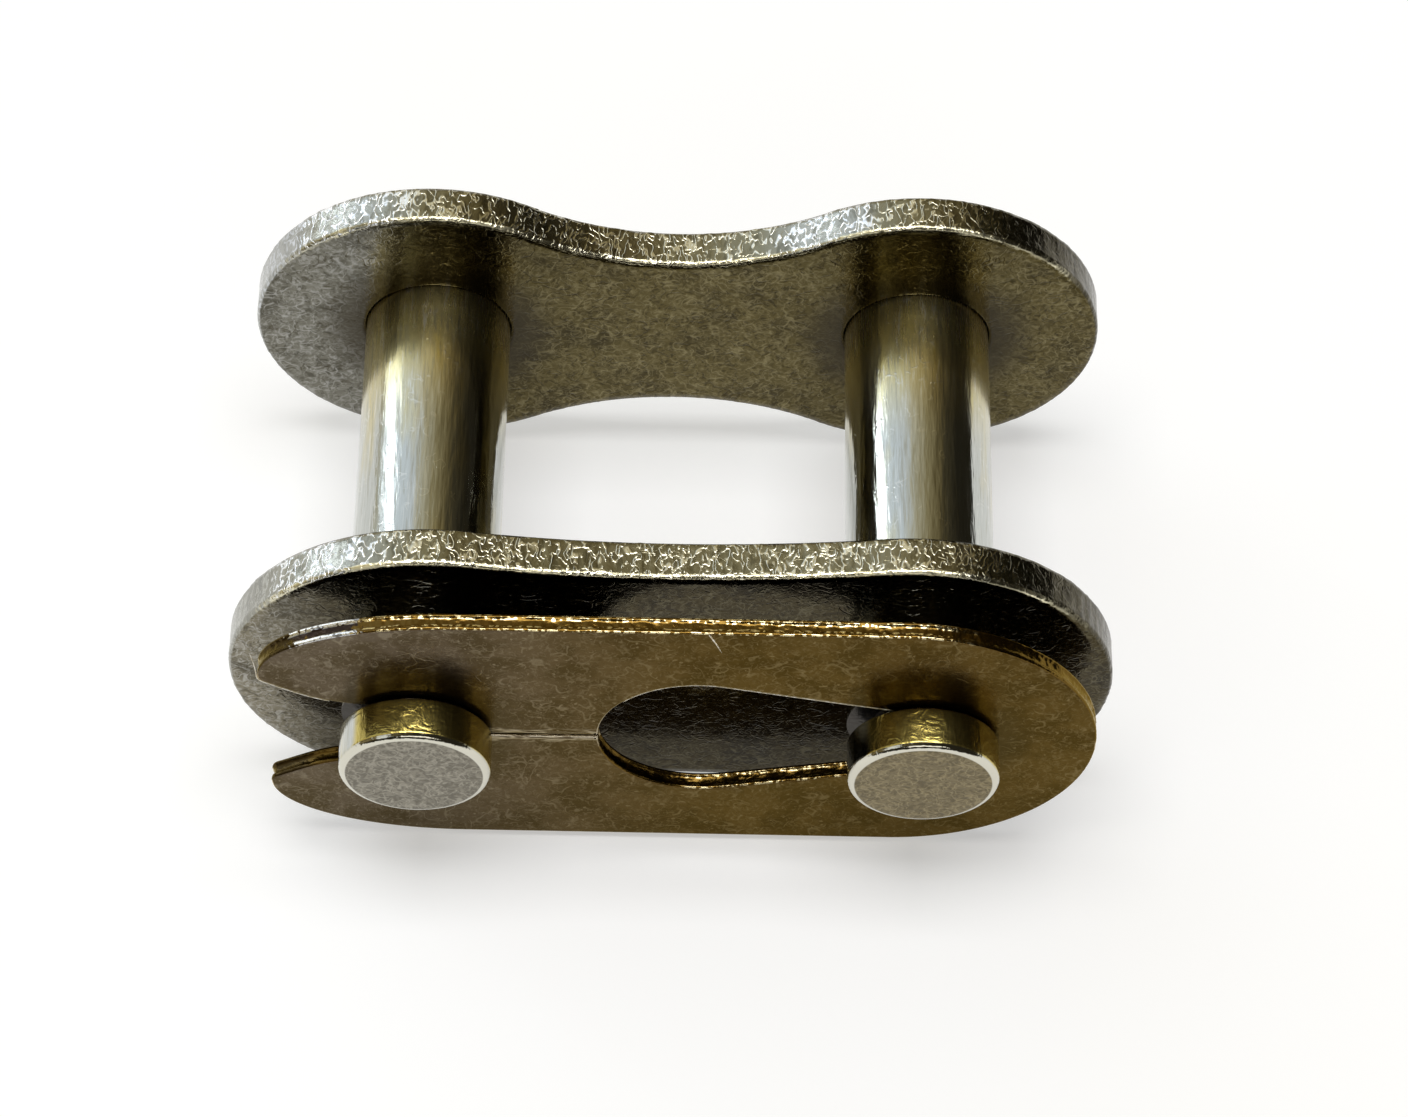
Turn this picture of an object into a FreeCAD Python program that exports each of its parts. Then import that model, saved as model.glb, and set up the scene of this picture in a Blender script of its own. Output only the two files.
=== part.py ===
import FreeCAD, Part
import math
import os

# Connecting link of a roller chain, with its spring clip in place.
#
# Every piece is drawn lying on its back: x along the chain, y across it and z along the pins,
# with z = 0 on the inner face of the link plate and +z towards the clip. At the end each piece
# is turned to stand on its long edges, as the link rests on a table: +X along the chain, -Y out
# of the clip's side, +Z up. The origin is then under the middle of the link, on the table.
# All sizes are in millimetres.

# Chain size
pitch = 19.05                   # between the two pin axes

# Plates
plate_thickness = 1.60
plate_end_margin = 7.25         # pin axis to the rounded end, on both plates
plate_edge_break = 0.16         # edges worn off by tumbling
link_plate_height = 14.55
link_plate_waist = 9.30
cover_plate_height = 15.80
cover_plate_waist = 14.45
cover_bore_clearance = 0.05     # radial, so that the plate slides on the pins
bore_edge_break = 0.15          # rolled edge of each punched bore
cover_plate_gap = 1.85          # cover plate to clip, with the plate pushed in as at rest

# Pins
pin_diameter = 5.72
pin_grip_length = 17.85         # link plate's inner face to the clip groove
groove_width = 0.80
groove_core_diameter = 3.80
pin_end_length = 1.80           # full-diameter end beyond the groove
pin_end_chamfer = 0.33
rivet_diameter = 6.50
rivet_height = 0.75
rivet_flat_diameter = 3.60
rivet_rim_height = 0.20

# Spring clip
clip_thickness = 0.70
clip_height = 15.10
clip_end_margin = 6.55          # right pin axis to the closed end
clip_edge_break = 0.07
seat_clearance = 0.05           # radial, between the groove core and the closed end's seat
slot_bulb_diameter = 7.66
slot_bulb_distance = 8.38       # right pin axis to the centre of the slot's wide end
slit_width = 0.12               # cut that frees the two legs
pocket_clearance = 0.15         # radial, around the left groove core
throat_clearance = 0.05         # each side of the groove core, as it leaves the jaws
throat_distance = 1.38          # left pin axis to the start of the narrow throat
prong_reach = 5.73              # left pin axis to the prong tips
prong_tip_height = 3.90         # tips above and below the middle of the clip
prong_tip_radius = 0.45
prong_shoulder_inset = 1.53     # where each leg starts to round off, inboard of the left pin
mouth_angle = 32.0              # flare of each jaw, in degrees

# Places that follow from these sizes
pin_x = pitch / 2
pin_radius = pin_diameter / 2
core_radius = groove_core_diameter / 2
plate_half_length = pin_x + plate_end_margin
clip_back = pin_grip_length + (groove_width - clip_thickness) / 2
pin_end = pin_grip_length + groove_width + pin_end_length
cover_front = clip_back - cover_plate_gap
cover_back = cover_front - plate_thickness
rivet_back = -plate_thickness - rivet_height


def point(x, y, z=0.0):
    return FreeCAD.Vector(x, y, z)


def line(start, end):
    return Part.LineSegment(start, end).toShape()


def arc_about(centre, radius, from_angle, to_angle):
    """Arc of a circle in the drawing plane, with its angles in degrees."""
    def on_circle(angle):
        turn = math.radians(angle)
        return centre + point(radius * math.cos(turn), radius * math.sin(turn))
    middle = (from_angle + to_angle) / 2
    return Part.Arc(on_circle(from_angle), on_circle(middle), on_circle(to_angle)).toShape()


def mirrored(edges, across):
    return [edge.mirror(point(0, 0), across) for edge in edges]


def sheet_blank(outline, bottom, thickness, edge_break):
    """A stamped sheet with the rims of both faces broken."""
    wire = Part.Wire(Part.__sortEdges__(outline))
    blank = Part.Face(wire).extrude(point(0, 0, thickness))
    rims = [edge for edge in blank.Edges if edge.BoundBox.ZLength < thickness / 2]
    worn = blank.makeChamfer(min(edge_break, 0.4 * thickness), rims)
    worn.translate(point(0, 0, bottom))
    return worn


def plate_outline(height, waist):
    """Two round lobes joined by a hollow arc above and below."""
    lobe = height / 2
    lobe_x = plate_half_length - lobe
    half_waist = waist / 2
    hollow = (lobe_x ** 2 + half_waist ** 2 - lobe ** 2) / (2 * (lobe - half_waist))
    lean = math.degrees(math.asin(lobe_x / (lobe + hollow)))
    quarter = [
        arc_about(point(lobe_x, 0), lobe, 0, 90 + lean),
        arc_about(point(0, half_waist + hollow), hollow, 270 + lean, 270),
    ]
    half = quarter + mirrored(quarter, point(1, 0))
    return half + mirrored(half, point(0, 1))


def bore(x, bottom, radius):
    return Part.makeCylinder(radius, plate_thickness, point(x, 0, bottom))


def rolled_edge(x, face, radius, inward):
    """Cone that breaks the edge of a bore; inward is 1 or -1, towards the plate's middle."""
    wide = radius + bore_edge_break
    return Part.makeCone(wide, radius, bore_edge_break, point(x, 0, face), point(0, 0, inward))


def link_plate():
    blank = sheet_blank(plate_outline(link_plate_height, link_plate_waist),
                        -plate_thickness, plate_thickness, plate_edge_break)
    holes = []
    for x in (-pin_x, pin_x):
        holes.append(bore(x, -plate_thickness, pin_radius))
        holes.append(rolled_edge(x, 0, pin_radius, -1))
    return blank.cut(holes)


def cover_plate():
    blank = sheet_blank(plate_outline(cover_plate_height, cover_plate_waist),
                        cover_back, plate_thickness, plate_edge_break)
    radius = pin_radius + cover_bore_clearance
    holes = []
    for x in (-pin_x, pin_x):
        holes.append(bore(x, cover_back, radius))
        holes.append(rolled_edge(x, cover_back, radius, 1))
        holes.append(rolled_edge(x, cover_front, radius, -1))
    return blank.cut(holes)


def pin(x):
    """Turned pin: riveted end behind the link plate, groove and chamfered end in front."""
    rivet_radius = rivet_diameter / 2
    rivet_flat = rivet_flat_diameter / 2
    rim_back = -plate_thickness - rivet_rim_height
    shoulder = point(rivet_radius, 0, rim_back)
    flat_edge = point(rivet_flat, 0, rivet_back)
    crown = Part.Ellipse(shoulder, flat_edge, point(rivet_flat, 0, rim_back))
    turned = [
        shoulder,
        point(rivet_radius, 0, -plate_thickness),
        point(pin_radius, 0, -plate_thickness),
        point(pin_radius, 0, pin_grip_length),
        point(core_radius, 0, pin_grip_length),
        point(core_radius, 0, pin_grip_length + groove_width),
        point(pin_radius, 0, pin_grip_length + groove_width),
        point(pin_radius, 0, pin_end - pin_end_chamfer),
        point(pin_radius - pin_end_chamfer, 0, pin_end),
        point(0, 0, pin_end),
        point(0, 0, rivet_back),
        flat_edge,
    ]
    profile = [line(start, end) for start, end in zip(turned, turned[1:])]
    profile.append(Part.ArcOfEllipse(crown, 0, math.pi / 2).toShape())
    face = Part.Face(Part.Wire(Part.__sortEdges__(profile)))
    turned_pin = face.revolve(point(0, 0, 0), point(0, 0, 1), 360)
    turned_pin.translate(point(x, 0, 0))
    return turned_pin


def jaw_edges():
    """Upper prong, from the straight leg round its tip and along the throat to the pocket."""
    half_height = clip_height / 2
    shoulder_x = prong_shoulder_inset - pin_x
    tip_x = -pin_x - prong_reach
    half_throat = core_radius + throat_clearance
    throat_x = -pin_x - throat_distance

    round_off = Part.Ellipse(point(shoulder_x, prong_tip_height),
                             shoulder_x - tip_x, half_height - prong_tip_height)
    outer = Part.ArcOfEllipse(round_off, math.pi / 2, math.pi).toShape()

    tip_centre = point(tip_x + prong_tip_radius, prong_tip_height)
    tip = arc_about(tip_centre, prong_tip_radius, 180, 270 - mouth_angle)

    flare = math.radians(mouth_angle)
    flare_start = tip_centre + point(-math.sin(flare), -math.cos(flare)) * prong_tip_radius
    corner_x = flare_start.x + (flare_start.y - half_throat) / math.tan(flare)
    blend_length = throat_x - corner_x
    blend_radius = blend_length / math.tan(flare / 2)
    blend_start = point(corner_x, half_throat) + point(-math.cos(flare), math.sin(flare)) * blend_length
    blend = arc_about(point(throat_x, half_throat + blend_radius), blend_radius,
                      270 - mouth_angle, 270)

    pocket = core_radius + pocket_clearance
    lip_angle = math.degrees(math.asin(half_throat / pocket))
    lip_x = -pin_x - math.sqrt(pocket ** 2 - half_throat ** 2)
    slit_angle = math.degrees(math.asin(slit_width / 2 / pocket))
    return [
        outer,
        tip,
        line(flare_start, blend_start),
        blend,
        line(point(throat_x, half_throat), point(lip_x, half_throat)),
        arc_about(point(-pin_x, 0), pocket, 180 - lip_angle, slit_angle),
    ]


def slot_edges():
    """Upper side of the slit and of the keyhole slot, up to the right pin's seat."""
    bulb = slot_bulb_diameter / 2
    bulb_centre = point(pin_x - slot_bulb_distance, 0)
    seat = core_radius + seat_clearance
    seat_centre = point(pin_x, 0)
    pocket = core_radius + pocket_clearance
    half_slit = slit_width / 2
    taper = math.asin((bulb - seat) / slot_bulb_distance)
    across_taper = point(math.sin(taper), math.cos(taper))
    slit_from = point(-pin_x + math.sqrt(pocket ** 2 - half_slit ** 2), half_slit)
    slit_to = point(bulb_centre.x - math.sqrt(bulb ** 2 - half_slit ** 2), half_slit)
    slit_angle = math.degrees(math.asin(half_slit / bulb))
    taper_angle = 90 - math.degrees(taper)
    return [
        line(slit_from, slit_to),
        arc_about(bulb_centre, bulb, 180 - slit_angle, taper_angle),
        line(bulb_centre + across_taper * bulb, seat_centre + across_taper * seat),
        arc_about(seat_centre, seat, taper_angle, 0),
    ]


def spring_clip():
    """Flat spring: closed round end, keyhole slot, slit and two jaws, the same above and below."""
    half_height = clip_height / 2
    end_centre = point(pin_x + clip_end_margin - half_height, 0)
    shoulder = point(prong_shoulder_inset - pin_x, half_height)
    upper = [
        arc_about(end_centre, half_height, 0, 90),
        line(end_centre + point(0, half_height), shoulder),
    ]
    upper += jaw_edges()
    upper += slot_edges()
    return sheet_blank(upper + mirrored(upper, point(0, 1)),
                       clip_back, clip_thickness, clip_edge_break)


def stand_up(shape):
    """Turn a piece to stand on its long edges, over the origin."""
    standing = shape.copy()
    standing.rotate(point(0, 0), point(1, 0), 90)
    standing.translate(point(0, (rivet_back + pin_end) / 2, cover_plate_height / 2))
    return standing


pieces = {
    "link_plate": link_plate(),
    "left_pin": pin(-pin_x),
    "right_pin": pin(pin_x),
    "cover_plate": cover_plate(),
    "spring_clip": spring_clip(),
}

os.makedirs("parts", exist_ok=True)
for node, shape in pieces.items():
    stand_up(shape).exportStep(f"parts/{node}.step")
    print(node, "valid" if shape.isValid() else "NOT VALID", "volume", round(shape.Volume, 2))
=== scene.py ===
import bpy
import math
from mathutils import Matrix, Vector


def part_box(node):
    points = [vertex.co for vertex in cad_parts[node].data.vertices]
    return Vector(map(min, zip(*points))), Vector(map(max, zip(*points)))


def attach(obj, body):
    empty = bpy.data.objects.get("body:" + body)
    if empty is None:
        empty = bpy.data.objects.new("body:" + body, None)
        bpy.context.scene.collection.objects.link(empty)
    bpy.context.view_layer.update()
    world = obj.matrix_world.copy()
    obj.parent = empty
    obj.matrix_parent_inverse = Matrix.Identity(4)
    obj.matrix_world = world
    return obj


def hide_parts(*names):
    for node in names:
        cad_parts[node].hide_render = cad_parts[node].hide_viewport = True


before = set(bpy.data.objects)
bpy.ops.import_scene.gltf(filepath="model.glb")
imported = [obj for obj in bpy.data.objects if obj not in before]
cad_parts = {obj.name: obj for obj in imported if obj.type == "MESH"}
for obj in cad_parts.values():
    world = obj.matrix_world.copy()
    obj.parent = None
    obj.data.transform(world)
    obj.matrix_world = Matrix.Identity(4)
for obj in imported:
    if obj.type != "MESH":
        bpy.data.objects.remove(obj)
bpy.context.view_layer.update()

# A roller chain's connecting link, standing on the long edges of its plates.
# Pieces are modelled in millimetres, with x along the chain, y along the pins and z measured up
# from the pin axes. Each is then lifted onto the floor and scaled to metres.
mm = 0.001


def boxInMillimetres(node):
    low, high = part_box(node)
    return low / mm, high / mm


linkLow, linkHigh = boxInMillimetres("link_plate")
coverLow, coverHigh = boxInMillimetres("cover_plate")
clipLow, clipHigh = boxInMillimetres("spring_clip")
pinBoxes = {name: boxInMillimetres(name) for name in ("left_pin", "right_pin")}
axisHeight = coverHigh.z / 2
pinX = (pinBoxes["right_pin"][0].x + pinBoxes["right_pin"][1].x) / 2
halfPitch = 9.525
pinRadius = 2.86
grooveCoreRadius = 1.90
mergeDistance = 0.001


# Modelling helpers

def deselectAll():
    if bpy.context.object and bpy.context.object.mode != "OBJECT":
        bpy.ops.object.mode_set(mode="OBJECT")
    bpy.ops.object.select_all(action="DESELECT")


def makeActive(piece):
    deselectAll()
    piece.select_set(True)
    bpy.context.view_layer.objects.active = piece


def pick(piece, kind, test):
    # Back in edit mode with only the vertices, edges or faces that pass the test selected
    makeActive(piece)
    bpy.ops.object.mode_set(mode="EDIT")
    bpy.ops.mesh.select_mode(type=kind)
    bpy.ops.mesh.select_all(action="DESELECT")
    bpy.ops.object.mode_set(mode="OBJECT")
    mesh = piece.data
    elements = {"VERT": mesh.vertices, "EDGE": mesh.edges, "FACE": mesh.polygons}[kind]
    for element in elements:
        element.select = test(element)
    bpy.ops.object.mode_set(mode="EDIT")


def applyModifier(piece, kind, **settings):
    makeActive(piece)
    modifier = piece.modifiers.new(kind.lower(), kind)
    for name, value in settings.items():
        setattr(modifier, name, value)
    bpy.ops.object.modifier_apply(modifier=modifier.name)


def firstPoint(name, start):
    # A plane merged to one vertex, which the outline grows from
    deselectAll()
    bpy.ops.mesh.primitive_plane_add(size=0.1, location=start)
    piece = bpy.context.object
    piece.name = name
    bpy.ops.object.transform_apply(location=True, rotation=False, scale=False)
    bpy.ops.object.mode_set(mode="EDIT")
    bpy.ops.mesh.select_mode(type="VERT")
    bpy.ops.mesh.select_all(action="SELECT")
    bpy.ops.mesh.merge(type="CENTER")
    return piece


def runTo(here, there, spacing):
    steps = max(1, round((there - here).length / spacing))
    bpy.ops.mesh.extrude_repeat(steps=steps, offset=(there - here) / steps)
    return there


def sweep(here, centre, degrees, spacing):
    # Turns the last vertex about centre, anticlockwise as seen from the front
    turn = math.radians(degrees)
    arm = here - centre
    steps = max(2, round(abs(turn) * arm.length / spacing))
    bpy.ops.mesh.spin(steps=steps, angle=turn, center=centre, axis=(0, 1, 0))
    return centre + Matrix.Rotation(turn, 3, (0, -1, 0)) @ arm


def mergeDoubles(distance):
    bpy.ops.mesh.select_all(action="SELECT")
    bpy.ops.mesh.remove_doubles(threshold=distance)


def standOnFloor(piece):
    makeActive(piece)
    bpy.ops.transform.translate(value=(0, 0, axisHeight))
    bpy.ops.transform.resize(value=(mm, mm, mm), center_override=(0, 0, 0))
    bpy.ops.object.transform_apply(location=True, rotation=True, scale=True)


def cutSheet(piece, sheet, back, thickness, holeRadius=0):
    # Fills an outline, keeps flat rings beside every edge, and pulls the sheet to its thickness
    bpy.ops.mesh.select_all(action="SELECT")
    bpy.ops.mesh.edge_face_add()
    bpy.ops.mesh.inset(thickness=sheet["ring"])
    if sheet["shake"]:
        # The fill leaves out points that lie dead in line, so they are moved a little, in the plane
        bpy.ops.transform.vertex_random(offset=sheet["shake"], seed=1)
        bpy.ops.transform.resize(value=(1, 0, 1), center_override=(0, back, 0))
    bpy.ops.object.vertex_group_assign_new()
    bpy.ops.mesh.delete(type="ONLY_FACE")
    if holeRadius:
        for x in (-pinX, pinX):
            centre = (x, back, 0)
            grow = 1 + sheet["ring"] / holeRadius
            bpy.ops.mesh.select_all(action="DESELECT")
            bpy.ops.mesh.primitive_circle_add(vertices=sheet["holeSteps"], radius=holeRadius,
                                              location=centre, rotation=(math.pi / 2, 0, 0))
            bpy.ops.mesh.extrude_edges_move(TRANSFORM_OT_translate={"value": (0, 0, 0)})
            bpy.ops.transform.resize(value=(grow, 1, grow), center_override=centre)
            bpy.ops.object.vertex_group_assign()
    bpy.ops.mesh.select_all(action="DESELECT")
    bpy.ops.object.vertex_group_select()
    bpy.ops.mesh.fill()
    bpy.ops.mesh.select_all(action="SELECT")
    rimRow = sheet["edgeBreak"] * 1.3  # the first and last rows leave room for the rounded rims
    rows = sheet["rows"]
    bpy.ops.mesh.extrude_region_move(TRANSFORM_OT_translate={"value": (0, -rimRow, 0)})
    bpy.ops.mesh.extrude_repeat(steps=rows, offset=(0, (2 * rimRow - thickness) / rows, 0))
    bpy.ops.mesh.extrude_region_move(TRANSFORM_OT_translate={"value": (0, -rimRow, 0)})
    bpy.ops.mesh.select_all(action="SELECT")
    bpy.ops.mesh.normals_make_consistent(inside=False)
    bpy.ops.object.mode_set(mode="OBJECT")
    piece.vertex_groups.clear()
    breakRims(piece, sheet)


def breakRims(piece, sheet):
    # Rounds the rims, which are the edges between a flat face and a wall
    mesh = piece.data
    sides = {}
    for face in mesh.polygons:
        flat = abs(face.normal.y) > 0.9
        for key in face.edge_keys:
            sides.setdefault(key, []).append(flat)
    rims = {key for key, flats in sides.items() if len(flats) == 2 and flats[0] != flats[1]}
    pick(piece, "EDGE", lambda edge: tuple(sorted(edge.vertices)) in rims)
    bpy.ops.mesh.bevel(offset=sheet["edgeBreak"], segments=sheet["rimSegments"], profile=0.5,
                       affect="EDGES", clamp_overlap=False)
    bpy.ops.object.mode_set(mode="OBJECT")


def wearWalls(piece, marks, low, high, spare=None):
    # Presses dents and shear marks into the walls, always inwards. A mark's band says where it
    # is deepest, from 0 at the front face to 1 at the back, and how far it reaches from there.
    for number, mark in enumerate(marks):
        middle, reach = mark["band"]
        group = piece.vertex_groups.new(name="walls")
        for vertex in piece.data.vertices:
            across = (vertex.co.y - low) / (high - low)
            weight = 1 - ((across - middle) / reach) ** 4
            if weight > 0 and 0.001 < across < 0.999 and not (spare and spare(vertex.co)):
                group.add([vertex.index], weight, "REPLACE")
        deselectAll()
        bpy.ops.object.empty_add(location=(mark["shift"], 0, 0))
        stretch = bpy.context.object
        stretch.scale = mark["size"]
        texture = bpy.data.textures.new(f"mark{number}", "CLOUDS")
        texture.noise_scale = 1.0
        applyModifier(piece, "DISPLACE", texture=texture, texture_coords="OBJECT",
                      texture_coords_object=stretch, vertex_group="walls",
                      mid_level=0, strength=-mark["depth"], direction="NORMAL")
        bpy.data.objects.remove(stretch)
        piece.vertex_groups.clear()


# Plates

linkPlate = {
    "height": linkHigh.z - linkLow.z,
    "waist": 9.30,
    "back": linkHigh.y,
    "thickness": linkHigh.y - linkLow.y,
    "holeRadius": pinRadius + 0.004,  # just clear of the pin that is pressed in
}
coverPlate = {
    "height": coverHigh.z - coverLow.z,
    "waist": 14.45,
    "back": coverHigh.y,
    "thickness": coverHigh.y - coverLow.y,
    "holeRadius": pinRadius + 0.05,
}
plateSheet = {
    "spacing": 0.07,
    "ring": 0.45,
    "shake": 0,
    "edgeBreak": 0.16,
    "rimSegments": 4,
    "rows": 16,
    "holeSteps": 96,
}
plateWear = [
    {"size": (0.45, 3.0, 0.45), "shift": 3, "depth": 0.035, "band": (0.5, 0.5)},
    {"size": (0.50, 0.5, 0.50), "shift": 7, "depth": 0.025, "band": (0.5, 0.5)},
    {"size": (0.20, 0.4, 0.20), "shift": 9, "depth": 0.055, "band": (0.05, 0.06)},
    {"size": (0.40, 0.4, 0.40), "shift": 4, "depth": 0.07, "band": (0.95, 0.07)},
]


def makePlate(name, node, plate, body):
    lobe = plate["height"] / 2
    lobeX = linkHigh.x - lobe
    halfWaist = plate["waist"] / 2
    hollow = (lobeX ** 2 + halfWaist ** 2 - lobe ** 2) / (2 * (lobe - halfWaist))
    lean = math.degrees(math.asin(lobeX / (lobe + hollow)))
    back = plate["back"]
    spacing = plateSheet["spacing"]

    here = Vector((0, back, halfWaist))
    piece = firstPoint(name, here)
    here = sweep(here, Vector((0, back, halfWaist + hollow)), lean, spacing)
    sweep(here, Vector((lobeX, back, 0)), -90 - lean, spacing)
    applyModifier(piece, "MIRROR", use_axis=(True, False, True), merge_threshold=mergeDistance)
    bpy.ops.object.mode_set(mode="EDIT")
    mergeDoubles(mergeDistance)
    cutSheet(piece, plateSheet, back, plate["thickness"], plate["holeRadius"])

    def inHole(place):
        return math.hypot(abs(place.x) - pinX, place.z) < plate["holeRadius"] + plateSheet["ring"]

    wearWalls(piece, plateWear, back - plate["thickness"], back, inHole)
    bpy.ops.object.shade_smooth()
    standOnFloor(piece)
    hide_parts(node)
    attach(piece, body)
    print(name, len(piece.data.polygons), "faces")
    return piece


# Pins

pinShape = {
    "endRound": 0.32,
    "endRoundDepth": 0.30,
    "roundSteps": 8,
    "endLength": 1.80,
    "grooveWidth": 0.80,
    "headBackBreak": 0.13,
    "rivetRim": 0.20,
    "rivetFlat": 1.80,
    "rivetSteps": 10,
    "cornerRound": 0.035,
    "supportRing": 0.12,
    "turns": 160,
}
grooveFront = pinBoxes["left_pin"][0].y + pinShape["endLength"]
grooveBack = grooveFront + pinShape["grooveWidth"]


def makePin(name, node):
    low, high = pinBoxes[node]
    axisX = (low.x + high.x) / 2
    rivetRadius = (high.x - low.x) / 2
    rim = linkHigh.y + pinShape["rivetRim"]
    endRound = pinShape["endRound"]
    headBack = pinShape["headBackBreak"]
    profile = [(pinRadius - 2 * endRound, low.y)]
    for step in range(pinShape["roundSteps"] + 1):
        turn = math.pi / 2 * step / pinShape["roundSteps"]
        radius = pinRadius - endRound * (1 - math.sin(turn))
        profile.append((radius, low.y + pinShape["endRoundDepth"] * (1 - math.cos(turn))))
    profile += [
        (pinRadius, grooveFront - headBack - pinShape["supportRing"]),
        (pinRadius, grooveFront - headBack),
        (pinRadius - headBack, grooveFront),
        (grooveCoreRadius, grooveFront),
        (grooveCoreRadius, grooveBack),
        (pinRadius, grooveBack),
        (pinRadius, grooveBack + pinShape["supportRing"]),
        (pinRadius, linkHigh.y - pinShape["supportRing"]),
        (pinRadius, linkHigh.y),
        (rivetRadius, linkHigh.y),
    ]
    for step in range(pinShape["rivetSteps"] + 1):
        turn = math.pi / 2 * step / pinShape["rivetSteps"]
        crown = pinShape["rivetFlat"] + (rivetRadius - pinShape["rivetFlat"]) * math.cos(turn)
        profile.append((crown, rim + (high.y - rim) * math.sin(turn)))
    profile.append((0, high.y))

    here = Vector((axisX, low.y, 0))
    piece = firstPoint(name, here)
    for radius, y in profile:
        there = Vector((axisX + radius, y, 0))
        bpy.ops.mesh.extrude_vertices_move(TRANSFORM_OT_translate={"value": there - here})
        here = there
    bpy.ops.mesh.select_all(action="SELECT")
    bpy.ops.mesh.spin(steps=pinShape["turns"], angle=math.tau, center=(axisX, 0, 0), axis=(0, 1, 0))
    mergeDoubles(mergeDistance / 2)
    bpy.ops.mesh.normals_make_consistent(inside=False)
    bpy.ops.object.mode_set(mode="OBJECT")
    applyModifier(piece, "BEVEL", limit_method="ANGLE", angle_limit=math.radians(30),
                  width=pinShape["cornerRound"], segments=2)
    bpy.ops.object.shade_smooth_by_angle(angle=math.radians(40))
    standOnFloor(piece)
    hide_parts(node)
    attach(piece, "link")
    print(name, len(piece.data.polygons), "faces")
    return piece


# Spring clip

clipShape = {
    "spacing": 0.075,
    "shoulderX": 1.53 - halfPitch,
    "tipHeight": 3.90,
    "tipRadius": 0.45,
    "mouthAngle": 32,
    "throatX": -halfPitch - 1.38,
    "throatHalf": grooveCoreRadius + 0.05,
    "pocketRadius": grooveCoreRadius + 0.15,
    "slitHalf": 0.06,
    "bulbRadius": 3.83,
    "bulbDistance": 8.38,
    "seatRadius": grooveCoreRadius + 0.05,
}
slotTaper = math.asin((clipShape["bulbRadius"] - clipShape["seatRadius"]) / clipShape["bulbDistance"])
acrossTaper = Vector((math.sin(slotTaper), 0, math.cos(slotTaper)))
clipSheet = {"ring": 0.15, "shake": 0.004, "edgeBreak": 0.10, "rimSegments": 4, "rows": 12}
clipWear = [
    {"size": (1.0, 1.2, 1.0), "shift": 2, "depth": 0.11, "band": (0.52, 0.28)},
    {"size": (0.22, 0.25, 0.22), "shift": 5, "depth": 0.05, "band": (0.5, 0.5)},
]


def jawPlaces(y):
    # The upper jaw's tip, where its flare starts, and the arc that blends the flare into the throat
    tipCentre = Vector((clipLow.x + clipShape["tipRadius"], y, clipShape["tipHeight"]))
    flare = math.radians(clipShape["mouthAngle"])
    along = Vector((math.cos(flare), 0, -math.sin(flare)))
    flareStart = tipCentre + Vector((-math.sin(flare), 0, -math.cos(flare))) * clipShape["tipRadius"]
    toThroat = (flareStart.z - clipShape["throatHalf"]) / math.sin(flare)
    corner = flareStart + along * toThroat
    blendLength = clipShape["throatX"] - corner.x
    blendRadius = blendLength / math.tan(flare / 2)
    blendCentre = Vector((clipShape["throatX"], y, clipShape["throatHalf"] + blendRadius))
    return tipCentre, corner - along * blendLength, blendCentre


def makeClip():
    back = clipHigh.y
    halfHeight = clipHigh.z - axisHeight
    spacing = clipShape["spacing"]

    def at(x, z):
        return Vector((x, back, z))

    endCentre = at(clipHigh.x - halfHeight, 0)
    here = at(clipHigh.x, 0)
    piece = firstPoint("springClip", here)
    here = sweep(here, endCentre, 90, spacing)
    here = runTo(here, at(clipShape["shoulderX"], halfHeight), spacing)

    # The leg rounds off along an ellipse, which is a quarter circle pressed flat
    length = clipShape["shoulderX"] - clipLow.x
    drop = halfHeight - clipShape["tipHeight"]
    sweep(here, at(clipShape["shoulderX"], halfHeight - length), 90, spacing)
    pick(piece, "VERT", lambda vertex: vertex.co.x < clipShape["shoulderX"] - 1e-4)
    bpy.ops.transform.resize(value=(1, 1, drop / length), center_override=here)
    here = at(clipLow.x, clipShape["tipHeight"])
    pick(piece, "VERT", lambda vertex: (vertex.co - here).length < 1e-3)

    tipCentre, blendStart, blendCentre = jawPlaces(back)
    here = sweep(here, tipCentre, 90 - clipShape["mouthAngle"], spacing / 2)
    here = runTo(here, blendStart, spacing)
    here = sweep(here, blendCentre, clipShape["mouthAngle"], spacing)

    pocket = clipShape["pocketRadius"]
    throat = clipShape["throatHalf"]
    lipAngle = math.degrees(math.asin(throat / pocket))
    slitAngle = math.degrees(math.asin(clipShape["slitHalf"] / pocket))
    here = runTo(here, at(-pinX - pocket * math.cos(math.radians(lipAngle)), throat), spacing)
    here = sweep(here, at(-pinX, 0), lipAngle + slitAngle - 180, spacing)

    bulb = clipShape["bulbRadius"]
    bulbCentre = at(pinX - clipShape["bulbDistance"], 0)
    slitTurn = math.asin(clipShape["slitHalf"] / bulb)
    slitEnd = bulbCentre + Vector((-math.cos(slitTurn), 0, math.sin(slitTurn))) * bulb
    here = runTo(here, slitEnd, spacing)
    here = sweep(here, bulbCentre, math.degrees(slitTurn - slotTaper) - 90, spacing)
    seatCentre = at(pinX, 0)
    here = runTo(here, seatCentre + acrossTaper * clipShape["seatRadius"], spacing)
    sweep(here, seatCentre, math.degrees(slotTaper) - 90, spacing)

    applyModifier(piece, "MIRROR", use_axis=(False, False, True), merge_threshold=mergeDistance)
    bpy.ops.object.mode_set(mode="EDIT")
    mergeDoubles(mergeDistance)
    cutSheet(piece, clipSheet, back, clipHigh.y - clipLow.y)
    wearWalls(piece, clipWear, clipLow.y, clipHigh.y)
    bpy.ops.object.shade_smooth_by_angle(angle=math.radians(70))
    standOnFloor(piece)
    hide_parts("spring_clip")
    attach(piece, "clip")
    print(piece.name, len(piece.data.polygons), "faces")
    return piece


# Slivers of steel that the punch left on the clip's front rim

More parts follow.
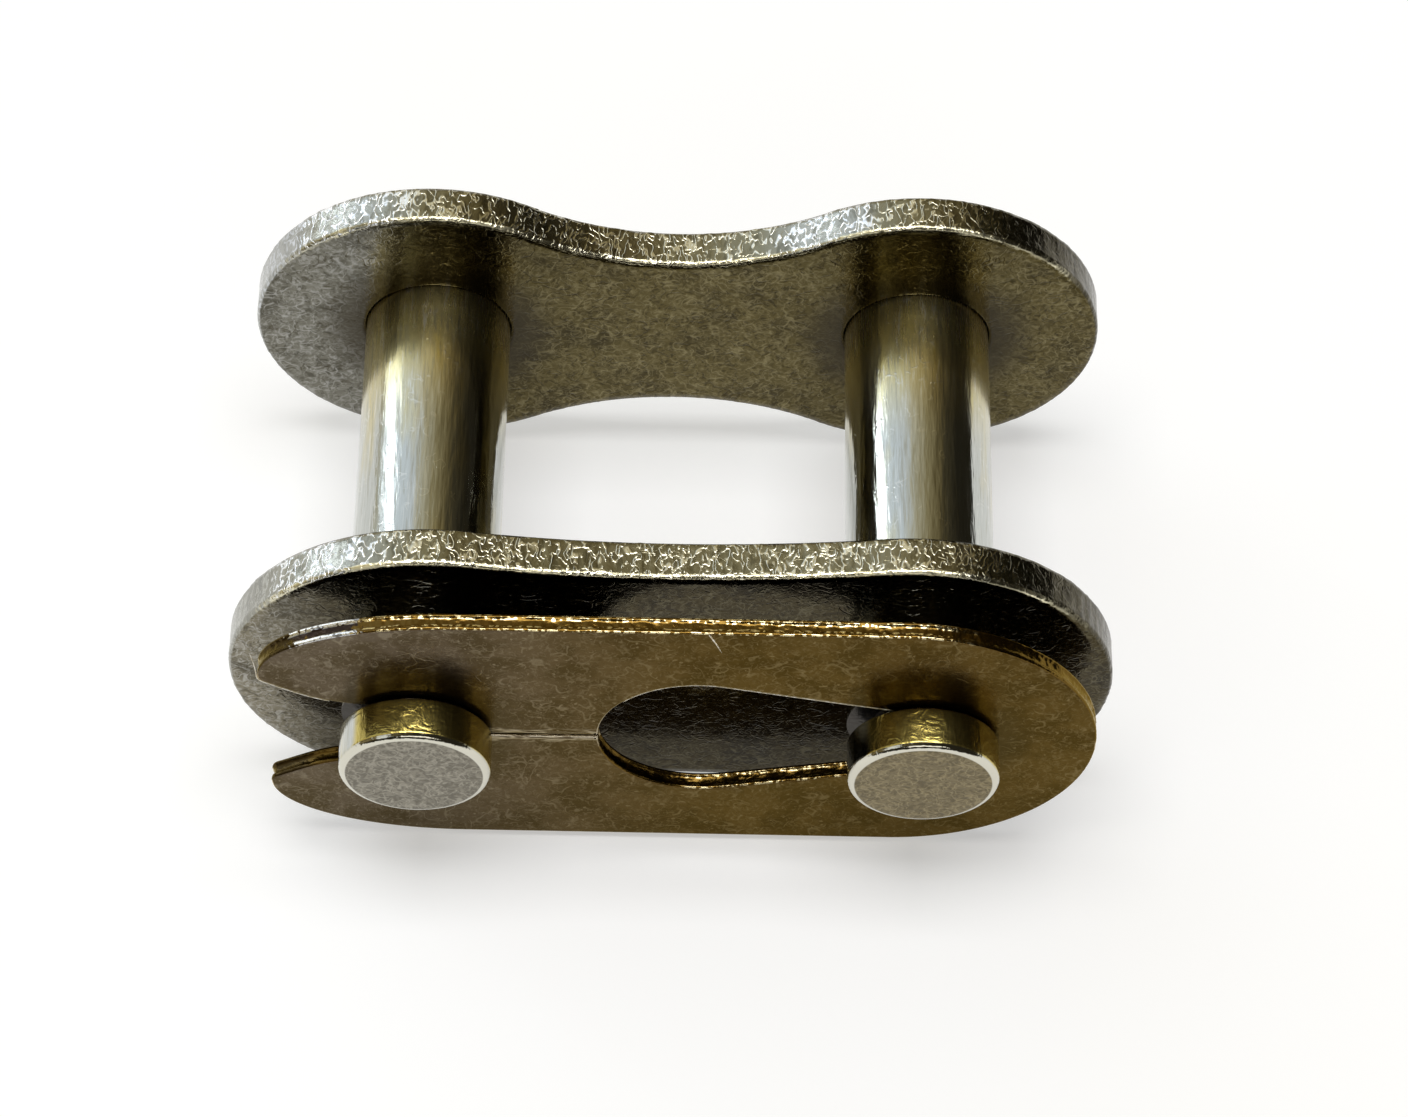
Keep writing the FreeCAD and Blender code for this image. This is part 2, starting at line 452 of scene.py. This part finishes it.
sliverShape = {
    "thick": 0.040,
    "thin": 0.014,
    "spacing": 0.08,
    "jawSweep": 14,
    "slotSweep": 62,
    "hairRadius": 9.0,
    "hairSweep": 10,
    "nick": [(1.38, 7.50), (1.62, 6.94), (1.85, 6.27)],  # x and z of its bends
}


def makeSliver(name, start, moves):
    # Each move is a centre and an angle to turn about it, or a place to run straight to
    here = start
    firstPoint(name, here)
    for move in moves:
        if isinstance(move, Vector):
            here = runTo(here, move, sliverShape["spacing"])
        else:
            here = sweep(here, *move, sliverShape["spacing"])
    bpy.ops.object.mode_set(mode="OBJECT")
    bpy.ops.object.convert(target="CURVE")
    line = bpy.context.object
    points = line.data.splines[0].points
    thick, thin = sliverShape["thick"], sliverShape["thin"]
    for point in points:
        # Thick over the first third, then thinning to the far end
        left = (point.co.to_3d() - here).length / (start - here).length
        point.radius = thin + (thick - thin) * min(1, left * 1.5)
    line.data.bevel_depth = 1.0
    line.data.bevel_resolution = 2
    line.data.use_fill_caps = True
    bpy.ops.object.convert(target="MESH")
    piece = bpy.context.object
    bpy.ops.object.mode_set(mode="EDIT")
    mergeDoubles(mergeDistance / 10)
    bpy.ops.mesh.normals_make_consistent(inside=False)
    bpy.ops.object.mode_set(mode="OBJECT")
    bpy.ops.object.shade_smooth()
    standOnFloor(piece)
    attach(piece, "clip")
    print(name, len(piece.data.polygons), "faces")
    return piece


def makeSlivers():
    rim = clipLow.y + sliverShape["thick"]
    tipCentre, blendStart, blendCentre = jawPlaces(rim)
    toFlare = blendStart - blendCentre
    turn = Matrix.Rotation(math.radians(sliverShape["jawSweep"]), 3, (0, -1, 0))
    tip = tipCentre - Vector((clipShape["tipRadius"], 0, 0))
    jaw = makeSliver("jawSliver", blendCentre + turn @ toFlare, [
        (blendCentre, -sliverShape["jawSweep"]),
        tipCentre + toFlare.normalized() * clipShape["tipRadius"],
        (tipCentre, clipShape["mouthAngle"] - 90),
        (tip - Vector((sliverShape["hairRadius"], 0, 0)), sliverShape["hairSweep"]),
    ])
    bulbCentre = Vector((pinX - clipShape["bulbDistance"], rim, 0))
    seatTop = Vector((pinX, rim, 0)) + acrossTaper * clipShape["seatRadius"]
    slot = makeSliver("slotSliver", seatTop, [
        bulbCentre + acrossTaper * clipShape["bulbRadius"],
        (bulbCentre, sliverShape["slotSweep"]),
    ])
    first, *others = [Vector((x, clipLow.y, z)) for x, z in sliverShape["nick"]]
    return [jaw, slot, makeSliver("edgeSliver", first, others)]


# Materials

white = (1, 1, 1, 1)


class Shade:
    # A socket of a material. Sums and products of these add Math nodes to its tree.
    def __init__(self, tree, socket=None):
        self.tree = tree
        self.socket = socket

    def node(self, kind, settings=None, inputs=None, output=0):
        made = self.tree.nodes.new(kind)
        for name, value in (settings or {}).items():
            if name == "stops":
                for index, (position, colour) in enumerate(value):
                    if index < len(made.color_ramp.elements):
                        stop = made.color_ramp.elements[index]
                        stop.position = position
                    else:
                        stop = made.color_ramp.elements.new(position)
                    stop.color = (*colour, 1)
            else:
                setattr(made, name, value)
        for name, value in (inputs or {}).items():
            if isinstance(value, Shade):
                self.tree.links.new(value.socket, made.inputs[name])
            else:
                made.inputs[name].default_value = value
        return Shade(self.tree, made.outputs[output]) if made.outputs else None

    def math(self, operation, *values):
        return self.node("ShaderNodeMath", {"operation": operation}, dict(enumerate(values)))

    def __add__(self, other):
        return self.math("ADD", self, other)

    def __sub__(self, other):
        return self.math("SUBTRACT", self, other)

    def __rsub__(self, other):
        return self.math("SUBTRACT", other, self)

    def __mul__(self, other):
        return self.math("MULTIPLY", self, other)

    def __truediv__(self, other):
        return self.math("DIVIDE", self, other)

    def __rtruediv__(self, other):
        return self.math("DIVIDE", other, self)

    def __pow__(self, other):
        return self.math("POWER", self, other)

    def __abs__(self):
        return self.math("ABSOLUTE", self)

    __radd__ = __add__
    __rmul__ = __mul__

    def part(self, axis):
        return self.node("ShaderNodeSeparateXYZ", {}, {0: self}, axis)

    def rise(self, start, end):
        # 0 up to start and 1 from end, smooth between them, or falling where end is the lower
        return self.node("ShaderNodeMapRange", {"interpolation_type": "SMOOTHSTEP"},
                         {"Value": self, "From Min": start, "From Max": end})

    def blend(self, first, second):
        # Mixes two colours by this mask
        return self.node("ShaderNodeMix", {"data_type": "RGBA"}, {0: self, 6: first, 7: second}, 2)

    def tint(self, colour):
        return self.node("ShaderNodeMix", {"data_type": "RGBA", "blend_type": "MULTIPLY"},
                         {0: 1.0, 6: self, 7: colour}, 2)


def grain(where, size, detail=2.0, rough=0.5, twist=0.0, stretch=(1, 1, 1), shift=0.0):
    # Noise whose features are about size millimetres across, drawn out by stretch
    place = where.node("ShaderNodeMapping", {}, {
        "Vector": where, "Location": (shift, shift, shift),
        "Scale": tuple(1 / (size * side) for side in stretch)})
    return where.node("ShaderNodeTexNoise", {}, {
        "Vector": place, "Scale": 1.0, "Detail": detail, "Roughness": rough, "Distortion": twist})


def startMaterial(name):
    material = bpy.data.materials.new(name)
    material.use_nodes = True
    tree = material.node_tree
    tree.nodes.clear()
    shade = Shade(tree)
    place = shade.node("ShaderNodeTexCoord", output="Object")
    place = shade.node("ShaderNodeMapping", {}, {"Vector": place, "Scale": (1 / mm, 1 / mm, 1 / mm)})
    return material, shade, place


def facing(shade, axis):
    # How far the surface faces along an axis, from -1 to 1
    return shade.node("ShaderNodeTexCoord", output="Normal").part(axis)


def wallUpwards(shade, flat):
    # How far a wall faces up, with its lean to the front or back left out
    return facing(shade, "Z") / (1.001 - flat * flat) ** 0.5


def nearPin(place, far, near):
    # 1 up to near millimetres from a pin's side, and 0 from far
    squared = (abs(place.part("X")) - pinX) ** 2 + (place.part("Z") - axisHeight) ** 2
    return squared.rise((pinRadius + far) ** 2, (pinRadius + near) ** 2)


def finishMaterial(material, shade, colour, rough, height, depth, glance=white):
    # depth is the bumps' height in millimetres, and glance tints what is mirrored at a low angle
    bump = shade.node("ShaderNodeBump", {}, {"Height": height, "Distance": depth * mm, "Strength": 1.0})
    metal = shade.node("ShaderNodeBsdfPrincipled", {}, {
        "Base Color": colour, "Roughness": rough, "Metallic": 1.0,
        "Specular Tint": glance, "Normal": bump})
    shade.node("ShaderNodeOutputMaterial", {"target": "ALL"}, {"Surface": metal})
    return material


def worms(place, size, width, shift, share, stretch=(1, 1, 1)):
    # Short curved scratches: the middle contour of a twisted noise, broken up by another one
    twisted = grain(place, size, detail=0.5, twist=0.8, stretch=stretch, shift=shift)
    line = abs(twisted - 0.5).rise(width, 0)
    broken = grain(place, size * 1.3, detail=1, shift=shift + 40).rise(share, share + 0.08)
    return line * broken


# A span says where a change starts and where it is complete, along x on plates and clip
plateFinish = {
    "face": (0.094, 0.073, 0.0245, 1),
    "faceDark": (0.036, 0.027, 0.0080, 1),
    "wall": (0.265, 0.246, 0.168, 1),
    "wallDark": (0.16, 0.147, 0.095, 1),
    # pale of the painted glints on the wall hooks
    "wallGlint": (0.95, 0.93, 0.80, 1),
    # painted reflection of the window on the walls at the left lobes and in the link's right hollow
    "windowSheenTint": (1.65, 1.78, 2.35, 1),
    "windowSheenSpan": (-9.5, -13.0),
    "hollowSheenSpans": [(3.0, 5.0), (7.8, 7.0)],
    # painted shade on the walls towards the right end
    "rightShadeTint": (0.24, 0.22, 0.185, 1),
    "rightShadeSpan": (9.0, 15.0),
    "smoothEnd": (0.33, 0.335, 0.325, 1),
    "smoothSpan": (-14.0, -15.4),
    # pale of the rubbed upper front rims, partly a painted highlight
    "rim": (0.95, 0.89, 0.64, 1),
    "backRim": (0.16, 0.14, 0.09, 1),
    "bore": (0.040, 0.032, 0.018, 1),
    "boreReach": (0.45, 0.25),
    # how far the painted shade round the pins reaches
    "pinShadeReach": (2.3, 0.2),
}
# Each plate's faces have their own tint, which on the cover plate is a painted shade, and turn grey
# towards the left end
linkFinish = {
    "pale": (0.225, 0.190, 0.095, 1),
    "greyPale": (0.36, 0.355, 0.33, 1),
    "faceToneAndShade": (0.95, 0.95, 0.90, 1),
    "endTint": (1.66, 2.04, 4.90, 1),
    # how much painted reflection the link's right hollow gets
    "hollowSheen": 0.9,
    "sheenFadeSpan": (-18.0, -17.0),
    "greySpan": (-7.0, -12.5),
}
coverFinish = {
    "pale": (0.120, 0.105, 0.060, 1),
    "greyPale": (0.42, 0.41, 0.375, 1),
    # painted shade: the cover's faces are darkened for the narrow gap behind the clip, and stay dark
    # out to the left under the clip's prongs
    "faceToneAndShade": (0.46, 0.44, 0.40, 1),
    "endTint": (2.05, 2.35, 4.90, 1),
    "hollowSheen": 0.0,
    "sheenFadeSpan": (-15.6, -13.8),
    "greySpan": (-12.0, -16.2),
}


def plateMaterial(name, finish):
    material, shade, place = startMaterial(name)
    along = place.part("X")
    backwards = facing(shade, "Y")
    flat = abs(backwards)
    wall = flat.rise(0.97, 0.75)
    # The upper front rims are rubbed bare in patches, and their pale colour is also a painted
    # highlight, put only where a rim faces up and to the front
    chips = grain(place, 0.20, detail=2, shift=8)
    ragged = flat + chips * 0.12
    rim = backwards.rise(-0.12, -0.40) * ragged.rise(1.040, 1.000)
    rim = rim * wallUpwards(shade, flat).rise(0.50, 0.88)
    rubbed = grain(place, 1.3, detail=2, stretch=(1.5, 1, 1), shift=51).rise(0.40, 0.60)
    rim = rim * (0.25 + rubbed * 0.75)
    backRim = backwards.rise(0.35, 0.60)
    bore = nearPin(place, *plateFinish["boreReach"])
    # Painted shade darkens the faces round each pin
    pinShade = nearPin(place, *plateFinish["pinShadeReach"])

    patch = grain(place, 2.2, detail=4, rough=0.6)
    curl = grain(place, 0.55, detail=2, rough=0.55, twist=2.4, shift=11)
    swirl = worms(place, 0.28, 0.070, 71, 0.34)
    scratch = worms(place, 0.60, 0.040, 3, 0.46)
    gouge = worms(place, 0.70, 0.045, 23, 0.50)
    face = patch.rise(0.28, 0.56).blend(plateFinish["faceDark"], plateFinish["face"])
    face = (curl.rise(0.48, 0.30) * 0.8).blend(face, plateFinish["faceDark"])
    greyed = along.rise(*finish["greySpan"])
    # On the cover plate this tint is a painted shade
    face = face.tint(greyed.blend(finish["faceToneAndShade"], finish["endTint"]))
    pale = greyed.blend(finish["pale"], finish["greyPale"])
    face = (curl.rise(0.50, 0.75) * 0.60).blend(face, pale)
    face = (swirl * 0.35).blend(face, pale)
    face = (scratch * 0.6).blend(face, pale)
    face = (gouge * 0.6).blend(face, plateFinish["faceDark"])

    streak = grain(place, 0.30, detail=3, rough=0.55, twist=0.6, stretch=(1, 2.5, 1), shift=5)
    # Painted shade: the walls towards the right end are darkened, with fewer pale hooks there
    rightShade = along.rise(*plateFinish["rightShadeSpan"])
    smooth = along.rise(*plateFinish["smoothSpan"])
    # The pale hooks on the walls are real dents in the bumps, and painted glints in the colour
    hookDentAndGlint = worms(place, 0.29, 0.090, 61, 0.34, (1, 1.7, 1)) * (1 - rightShade * 0.75) * (1 - smooth * 0.6)
    side = streak.rise(0.32, 0.52).blend(plateFinish["wallDark"], plateFinish["wall"])
    side = (hookDentAndGlint * 0.9).blend(side, plateFinish["wallGlint"])
    # Painted reflection: the walls at the left lobes, and in the link plate's right hollow, are
    # lightened and cooled in place of the window mirrored there, fading out at the cover plate's far
    # left
    hollowSheenStart, hollowSheenEnd = plateFinish["hollowSheenSpans"]
    windowSheen = along.rise(*plateFinish["windowSheenSpan"]) * along.rise(*finish["sheenFadeSpan"])
    windowSheen = windowSheen + along.rise(*hollowSheenStart) * along.rise(*hollowSheenEnd) * finish["hollowSheen"]
    side = side.tint(windowSheen.blend(white, plateFinish["windowSheenTint"]))
    side = side.tint(rightShade.blend(white, plateFinish["rightShadeTint"]))
    side = (smooth * 0.6).blend(side, plateFinish["smoothEnd"])
    side = backRim.blend(side, plateFinish["backRim"])
    colour = wall.blend(face, side)
    # Bare metal and painted highlight on the upper front rims
    colour = (rim * chips.rise(0.30, 0.45)).blend(colour, plateFinish["rim"])
    # The bore colour paints the dark joint at each bore, and wider out the painted shade round the pins
    colour = (bore * flat.rise(0.999, 0.98) + pinShade * 0.85).blend(colour, plateFinish["bore"])

    wave = grain(place, 1.6, detail=2, shift=31)
    rough = 0.13 + curl * 0.06 + wall * 0.05 + rim * 0.08
    height = wave * 0.9 + curl * 0.25 + swirl * 0.10 + scratch * 0.15 - gouge * 0.25
    height = height + wall * (streak * 0.3 + hookDentAndGlint * 0.5) + rim * chips * 1.2
    return finishMaterial(material, shade, colour, rough, height, 0.02)


# Spans on a pin run along y, with its free end in front
pinFinish = {
    "body": (0.50, 0.515, 0.49, 1),
    "bodyDark": (0.34, 0.33, 0.26, 1),
    "straw": (0.62, 0.51, 0.185, 1),
    "strawSpan": (2.0, 7.5),
    "pale": (0.70, 0.70, 0.66, 1),
    # painted reflection of the clip's face on the side of the free end
    "head": (0.58, 0.475, 0.15, 1),
    "headSpan": (-9.3, -9.5),
    "headSheenEdge": (-0.80, -0.71),
    "end": (0.145, 0.132, 0.102, 1),
    "endSpan": (-10.6, -10.9),
    "endMid": (0.240, 0.221, 0.175, 1),
    "endPale": (0.42, 0.395, 0.325, 1),
    "rightEnd": (0.84, 0.74, 0.50, 1),
    "ring": (0.64, 0.62, 0.53, 1),
    # painted shade in the recess that holds the clip
    "groove": (0.045, 0.040, 0.034, 1),
    "grooveMargin": 0.02,
    "rivet": (0.27, 0.245, 0.185, 1),
    "rivetDark": (0.16, 0.142, 0.105, 1),
    "rivetSpan": (10.4, 10.7),
}


def pinMaterial(name):
    material, shade, place = startMaterial(name)
    flat = abs(facing(shade, "Y"))
    along = place.part("Y")
    tipward = along.rise(*pinFinish["endSpan"])
    end = flat.rise(0.975, 0.998) * tipward
    ring = flat.rise(0.25, 0.60) * flat.rise(0.998, 0.98) * tipward
    # The side of the free end is straw-coloured, a painted reflection of the clip's face, left off at
    # its far left
    head = along.rise(*pinFinish["headSpan"]) * flat.rise(0.5, 0.2)
    head = head * facing(shade, "X").rise(*pinFinish["headSheenEdge"])
    streak = grain(place, 0.10, detail=3, rough=0.6, stretch=(1, 16, 1))
    ripple = grain(place, 0.24, detail=2, rough=0.5, stretch=(1, 7, 1), shift=19)
    stain = grain(place, 0.9, detail=3, rough=0.5, stretch=(1, 6, 1), shift=9)
    blotch = worms(place, 0.45, 0.05, 5, 0.58)
    dent = grain(place, 0.80, detail=2, rough=0.5, twist=2.6, shift=27)
    curl = grain(place, 0.42, detail=2, rough=0.5, twist=2.6, shift=2)
    swirl = worms(place, 0.34, 0.09, 77, 0.30)
    straw = along.rise(*pinFinish["strawSpan"])
    gold = straw * 0.9 + stain.rise(0.54, 0.75) * 0.4
    body = gold.blend(pinFinish["body"], pinFinish["straw"])
    body = (streak.rise(0.48, 0.34) * 0.5).blend(body, pinFinish["bodyDark"])
    body = (streak.rise(0.54, 0.74) * 0.6).blend(body, pinFinish["pale"])
    body = (blotch * 0.5).blend(body, pinFinish["pale"])
    body = head.blend(body, pinFinish["head"])
    tip = curl.rise(0.36, 0.64).blend(pinFinish["end"], pinFinish["endMid"])
    tip = (swirl * 0.50).blend(tip, pinFinish["endPale"])
    rightmost = place.part("X").rise(-pinX, pinX)
    tip = tip.tint(rightmost.blend(white, pinFinish["rightEnd"]))
    colour = end.blend(body, tip)
    colour = ring.blend(colour, pinFinish["ring"])
    # Painted shade: the recess that holds the clip is coloured near black
    margin = pinFinish["grooveMargin"]
    groove = along.rise(grooveBack + margin * 1.5, grooveBack + margin / 2)
    groove = groove * along.rise(grooveFront - margin, grooveFront + margin)
    colour = groove.blend(colour, pinFinish["groove"])
    rivet = along.rise(*pinFinish["rivetSpan"])
    crown = curl.rise(0.36, 0.64).blend(pinFinish["rivetDark"], pinFinish["rivet"])
    colour = rivet.blend(colour, crown)
    rough = 0.075 + streak * 0.05 + straw * 0.17 + head * 0.15 + end * 0.25
    rough = rough + rivet * 0.08 + groove * 0.15
    height = streak * 0.12 + ripple * 1.3 + blotch * 0.15 + head * dent * 2.5
    height = height + (end + rivet * 1.5) * curl
    return finishMaterial(material, shade, colour, rough, height, 0.012)


# Heights are measured up and down from the clip's middle
clipFinish = {
    "face": (0.080, 0.048, 0.0145, 1),
    "faceDark": (0.046, 0.026, 0.0070, 1),
    "facePale": (0.175, 0.130, 0.062, 1),
    "greyPale": (0.215, 0.185, 0.145, 1),
    "greySpan": (3.0, -13.0),
    "greyEnd": (1.22, 1.60, 4.20, 1),
    "wall": (0.125, 0.075, 0.017, 1),
    # painted highlights along the left shoulder, with painted shade between them
    "shoulderHighlight": (0.97, 0.97, 0.97, 1),
    "shoulderShade": (0.035, 0.024, 0.018, 1),
    "tip": (0.055, 0.038, 0.016, 1),
    "tipSpan": (-13.2, -14.0),
    "shoulderHighlightSpans": [(-11.4, -11.6), (-13.9, -13.6)],
    "shoulderHighlightHeights": (4.6, 5.0),
    # golden dots, which are painted glints
    "rim": (0.95, 0.82, 0.50, 1),
    "outerSpan": (-13.6, -13.1),
    "outerHeights": (4.2, 4.6),
    "slotSpan": (0.2, 1.2),
    "rimEnd": (11.5, 9.5),
    "seam": (0.30, 0.255, 0.175, 1),
    "seamSpans": [(-7.6, -7.2), (-2.3, -2.8)],
    "seamHeights": (0.60, 0.30),
    "slitHeights": (0.30, 0.20),
    # painted shade round the pins
    "pinShade": (0.030, 0.021, 0.011, 1),
    "pinShadeReach": (1.6, 0),
    # pale of the rubbed inner rims, partly a painted reflection
    "inner": (0.72, 0.64, 0.50, 1),
    "innerEnd": (6.5, 6.0),
    "innerHeights": (4.6, 4.3),
    "glance": (0.90, 0.80, 0.55, 1),
}


def clipMaterial(name):
    material, shade, place = startMaterial(name)
    along = place.part("X")
    fromMiddle = abs(place.part("Z") - axisHeight)
    flat = abs(facing(shade, "Y"))
    wall = flat.rise(0.97, 0.80)
    rim = flat.rise(0.15, 0.4) * wall
    patch = grain(place, 2.0, detail=4, rough=0.6, shift=4)
    curl = grain(place, 0.45, detail=2.5, rough=0.55, twist=2.4, shift=17)
    swirl = worms(place, 0.26, 0.065, 73, 0.40)
    scratch = worms(place, 0.75, 0.045, 31, 0.50)
    face = patch.rise(0.36, 0.60).blend(clipFinish["faceDark"], clipFinish["face"])
    face = (curl.rise(0.44, 0.30) * 0.5).blend(face, clipFinish["faceDark"])
    greyed = along.rise(*clipFinish["greySpan"])
    face = face.tint(greyed.blend(white, clipFinish["greyEnd"]))
    pale = greyed.blend(clipFinish["facePale"], clipFinish["greyPale"])
    face = (curl.rise(0.54, 0.80) * 0.4).blend(face, pale)
    face = (swirl * 0.40).blend(face, pale)
    face = (scratch * 0.6).blend(face, pale)
    fleck = grain(place, 0.19, detail=0, shift=93).rise(0.76, 0.80)
    face = (fleck * 0.7).blend(face, pale)

    # Painted shade darkens the face round the pins
    pinShade = nearPin(place, *clipFinish["pinShadeReach"])
    face = (pinShade * 0.6).blend(face, clipFinish["pinShade"])

    # The slit has a rough seam on both sides
    seamStart, seamEnd = clipFinish["seamSpans"]
    seam = fromMiddle.rise(*clipFinish["seamHeights"]) * along.rise(*seamStart) * along.rise(*seamEnd)
    seam = seam * worms(place, 0.34, 0.13, 91, 0.22, (3.5, 1, 0.6))
    face = seam.blend(face, clipFinish["seam"])

    # Painted glints: golden dots on the outer rim and on the slot's
    sparkle = grain(place, 0.20, detail=1, shift=29)
    outer = along.rise(*clipFinish["outerSpan"]) * fromMiddle.rise(*clipFinish["outerHeights"])
    glintRims = rim * (outer + along.rise(*clipFinish["slotSpan"])) * along.rise(*clipFinish["rimEnd"])
    side = along.rise(*clipFinish["tipSpan"]).blend(clipFinish["wall"], clipFinish["tip"])
    side = (glintRims * sparkle.rise(0.49, 0.58)).blend(side, clipFinish["rim"])
    # Painted highlights: two near-white lines run along the left shoulder, with a painted dark one
    # between them
    highlightStart, highlightEnd = clipFinish["shoulderHighlightSpans"]
    ragged = along + (sparkle - 0.5) * 2.4
    shoulderHighlight = ragged.rise(*highlightStart) * ragged.rise(*highlightEnd)
    shoulderHighlight = shoulderHighlight * fromMiddle.rise(*clipFinish["shoulderHighlightHeights"])
    between = abs(place.part("Y") - (clipLow.y + clipHigh.y) / 2).rise(0.20, 0.10)
    between = between + sparkle.rise(0.46, 0.38) * 0.7
    lines = between.blend(clipFinish["shoulderHighlight"], clipFinish["shoulderShade"])
    side = shoulderHighlight.blend(side, lines)
    # The rims round the slot, the slit and the jaws are rubbed bare, and the pale colour on the ones
    # that face down is also a painted reflection
    broken = grain(place, 0.40, detail=1, stretch=(2, 1, 1), shift=95).rise(0.40, 0.56)
    slit = fromMiddle.rise(*clipFinish["slitHeights"]) * (0.25 + broken * 0.75)
    inner = fromMiddle.rise(*clipFinish["innerHeights"]) * along.rise(*clipFinish["innerEnd"])
    inner = inner * (wallUpwards(shade, flat).rise(0.3, -0.1) + slit)
    side = (inner * flat.rise(0.3, 0.5) + slit * 0.6).blend(side, clipFinish["inner"])
    colour = wall.blend(face, side)
    wave = grain(place, 1.4, detail=2, shift=37)
    rough = 0.20 + curl * 0.06 - wall * 0.02
    height = wave * 1.5 + curl * 0.3 + scratch * 0.2 + seam * 0.6 + wall * sparkle * 1.5
    return finishMaterial(material, shade, colour, rough, height, 0.012, clipFinish["glance"])


sliverFinish = {"pale": (0.72, 0.68, 0.60, 1), "dark": (0.46, 0.40, 0.28, 1)}


def sliverMaterial(name):
    material, shade, place = startMaterial(name)
    mottle = grain(place, 0.15, detail=2, shift=6)
    colour = mottle.rise(0.4, 0.6).blend(sliverFinish["dark"], sliverFinish["pale"])
    rough = 0.30 + mottle * 0.1
    return finishMaterial(material, shade, colour, rough, mottle, 0.006)


# Floor, light and camera

studio = {
    "floor": (0.60, 0.607, 0.628, 1),
    "floorShine": 0.45,
    "windowSide": (-0.643, 0.54, 0.54),
    # how bright the room is, by the cosine of the angle from the window side
    "room": [
        (0.05, (0.022, 0.019, 0.012)),
        (0.29, (0.064, 0.053, 0.029)),
        (0.46, (0.170, 0.132, 0.058)),
        (0.655, (0.370, 0.310, 0.165)),
        (0.84, (0.640, 0.600, 0.450)),
        (0.95, (0.850, 0.910, 0.960)),
        (1.00, (0.960, 1.050, 1.130)),
    ],
}


def makeFloor():
    deselectAll()
    bpy.ops.mesh.primitive_plane_add(size=8, location=(0, 0, 0))
    floor = bpy.context.object
    floor.name = "floor"
    material = bpy.data.materials.new("floorWhite")
    material.use_nodes = True
    tree = material.node_tree
    tree.nodes.clear()
    shade = Shade(tree)
    # The floor glows where it is seen or mirrored, but lights nothing by that glow
    seen = shade.node("ShaderNodeLightPath", output="Is Camera Ray")
    mirrored = shade.node("ShaderNodeLightPath", output="Is Glossy Ray")
    through = shade.node("ShaderNodeLightPath", output="Is Transmission Ray")
    shine = (seen + mirrored + through) * studio["floorShine"]
    surface = shade.node("ShaderNodeBsdfPrincipled", {}, {
        "Base Color": studio["floor"], "Roughness": 0.9, "Specular IOR Level": 0.0,
        "Emission Color": white, "Emission Strength": shine})
    shade.node("ShaderNodeOutputMaterial", {}, {"Surface": surface})
    floor.data.materials.append(material)


def makeWorld():
    world = bpy.data.worlds.new("room")
    bpy.context.scene.world = world
    world.use_nodes = True
    tree = world.node_tree
    tree.nodes.clear()
    shade = Shade(tree)
    direction = shade.node("ShaderNodeTexCoord", output="Generated")
    towards = tuple(Vector(studio["windowSide"]).normalized())
    near = shade.node("ShaderNodeVectorMath", {"operation": "DOT_PRODUCT"},
                      {0: direction, 1: towards}, "Value")
    colour = shade.node("ShaderNodeValToRGB", {"stops": studio["room"]}, {"Fac": near})
    background = shade.node("ShaderNodeBackground", {}, {"Color": colour, "Strength": 1.0})
    shade.node("ShaderNodeOutputWorld", {}, {"Surface": background})


lamps = {
    # towards the lamp, distance, width, height, radiance, colour
    "overhead": ((0.0, 0.0, 1.0), 0.9, 0.7, 0.42, 6.2, (1.0, 0.995, 0.98)),
    "window": ((-0.74, 0.54, 0.34), 1.0, 0.06, 0.5, 3.4, (0.86, 0.94, 1.0)),
    "corner": ((-0.62, -0.58, 0.50), 1.0, 0.36, 0.30, 0.9, (0.86, 0.93, 1.0)),
    "front": ((0.05, -0.84, 0.50), 1.0, 0.7, 0.25, 1.5, (1.0, 0.97, 0.90)),
}


def makeLamps():
    target = Vector((0, 0, axisHeight * mm))
    for name, (towards, distance, width, height, radiance, colour) in lamps.items():
        unit = Vector(towards).normalized()
        deselectAll()
        bpy.ops.object.light_add(type="AREA", location=target + unit * distance)
        lamp = bpy.context.object
        lamp.name = name
        lamp.rotation_euler = unit.to_track_quat("Z", "Y").to_euler()
        lamp.data.shape = "RECTANGLE"
        lamp.data.size = width
        lamp.data.size_y = height
        lamp.data.energy = radiance * math.pi * width * height
        lamp.data.color = colour


cameraView = {
    "place": (0.262, -91.56, 150.33),
    "yaw": -0.01036,
    "pitch": -1.00719,
    "roll": -0.02782,
    "focalLength": 111.6,
}


def makeCamera():
    deselectAll()
    bpy.ops.object.camera_add(location=Vector(cameraView["place"]) * mm)
    camera = bpy.context.object
    yaw = Matrix.Rotation(cameraView["yaw"], 3, "Z")
    pitch = Matrix.Rotation(cameraView["pitch"], 3, "X")
    roll = Matrix.Rotation(cameraView["roll"], 3, "Y")
    # Blender's camera looks along its own -Z, and this one is given by right, forward and up
    level = Matrix.Rotation(math.pi / 2, 3, "X")
    camera.rotation_euler = (yaw @ pitch @ roll @ level).to_euler()
    camera.data.sensor_width = 36
    camera.data.lens = cameraView["focalLength"]
    camera.data.clip_start = 0.005
    camera.data.clip_end = 20
    bpy.context.scene.camera = camera


plates = [
    makePlate("linkPlate", "link_plate", linkPlate, "link"),
    makePlate("coverPlate", "cover_plate", coverPlate, "cover"),
]
pins = [makePin("leftPin", "left_pin"), makePin("rightPin", "right_pin")]
clip = makeClip()
slivers = makeSlivers()

for piece, finish in zip(plates, (linkFinish, coverFinish)):
    piece.data.materials.append(plateMaterial(piece.name + "Steel", finish))
for piece in pins:
    piece.data.materials.append(pinMaterial(piece.name + "Steel"))
clip.data.materials.append(clipMaterial("clipSteel"))
for piece in slivers:
    piece.data.materials.append(sliverMaterial(piece.name + "Steel"))
print("materials", len(plates + pins + slivers) + 1)

makeFloor()
makeWorld()
makeLamps()
makeCamera()
bpy.context.scene.view_settings.view_transform = "Standard"
print("floor, room, lamps and camera")
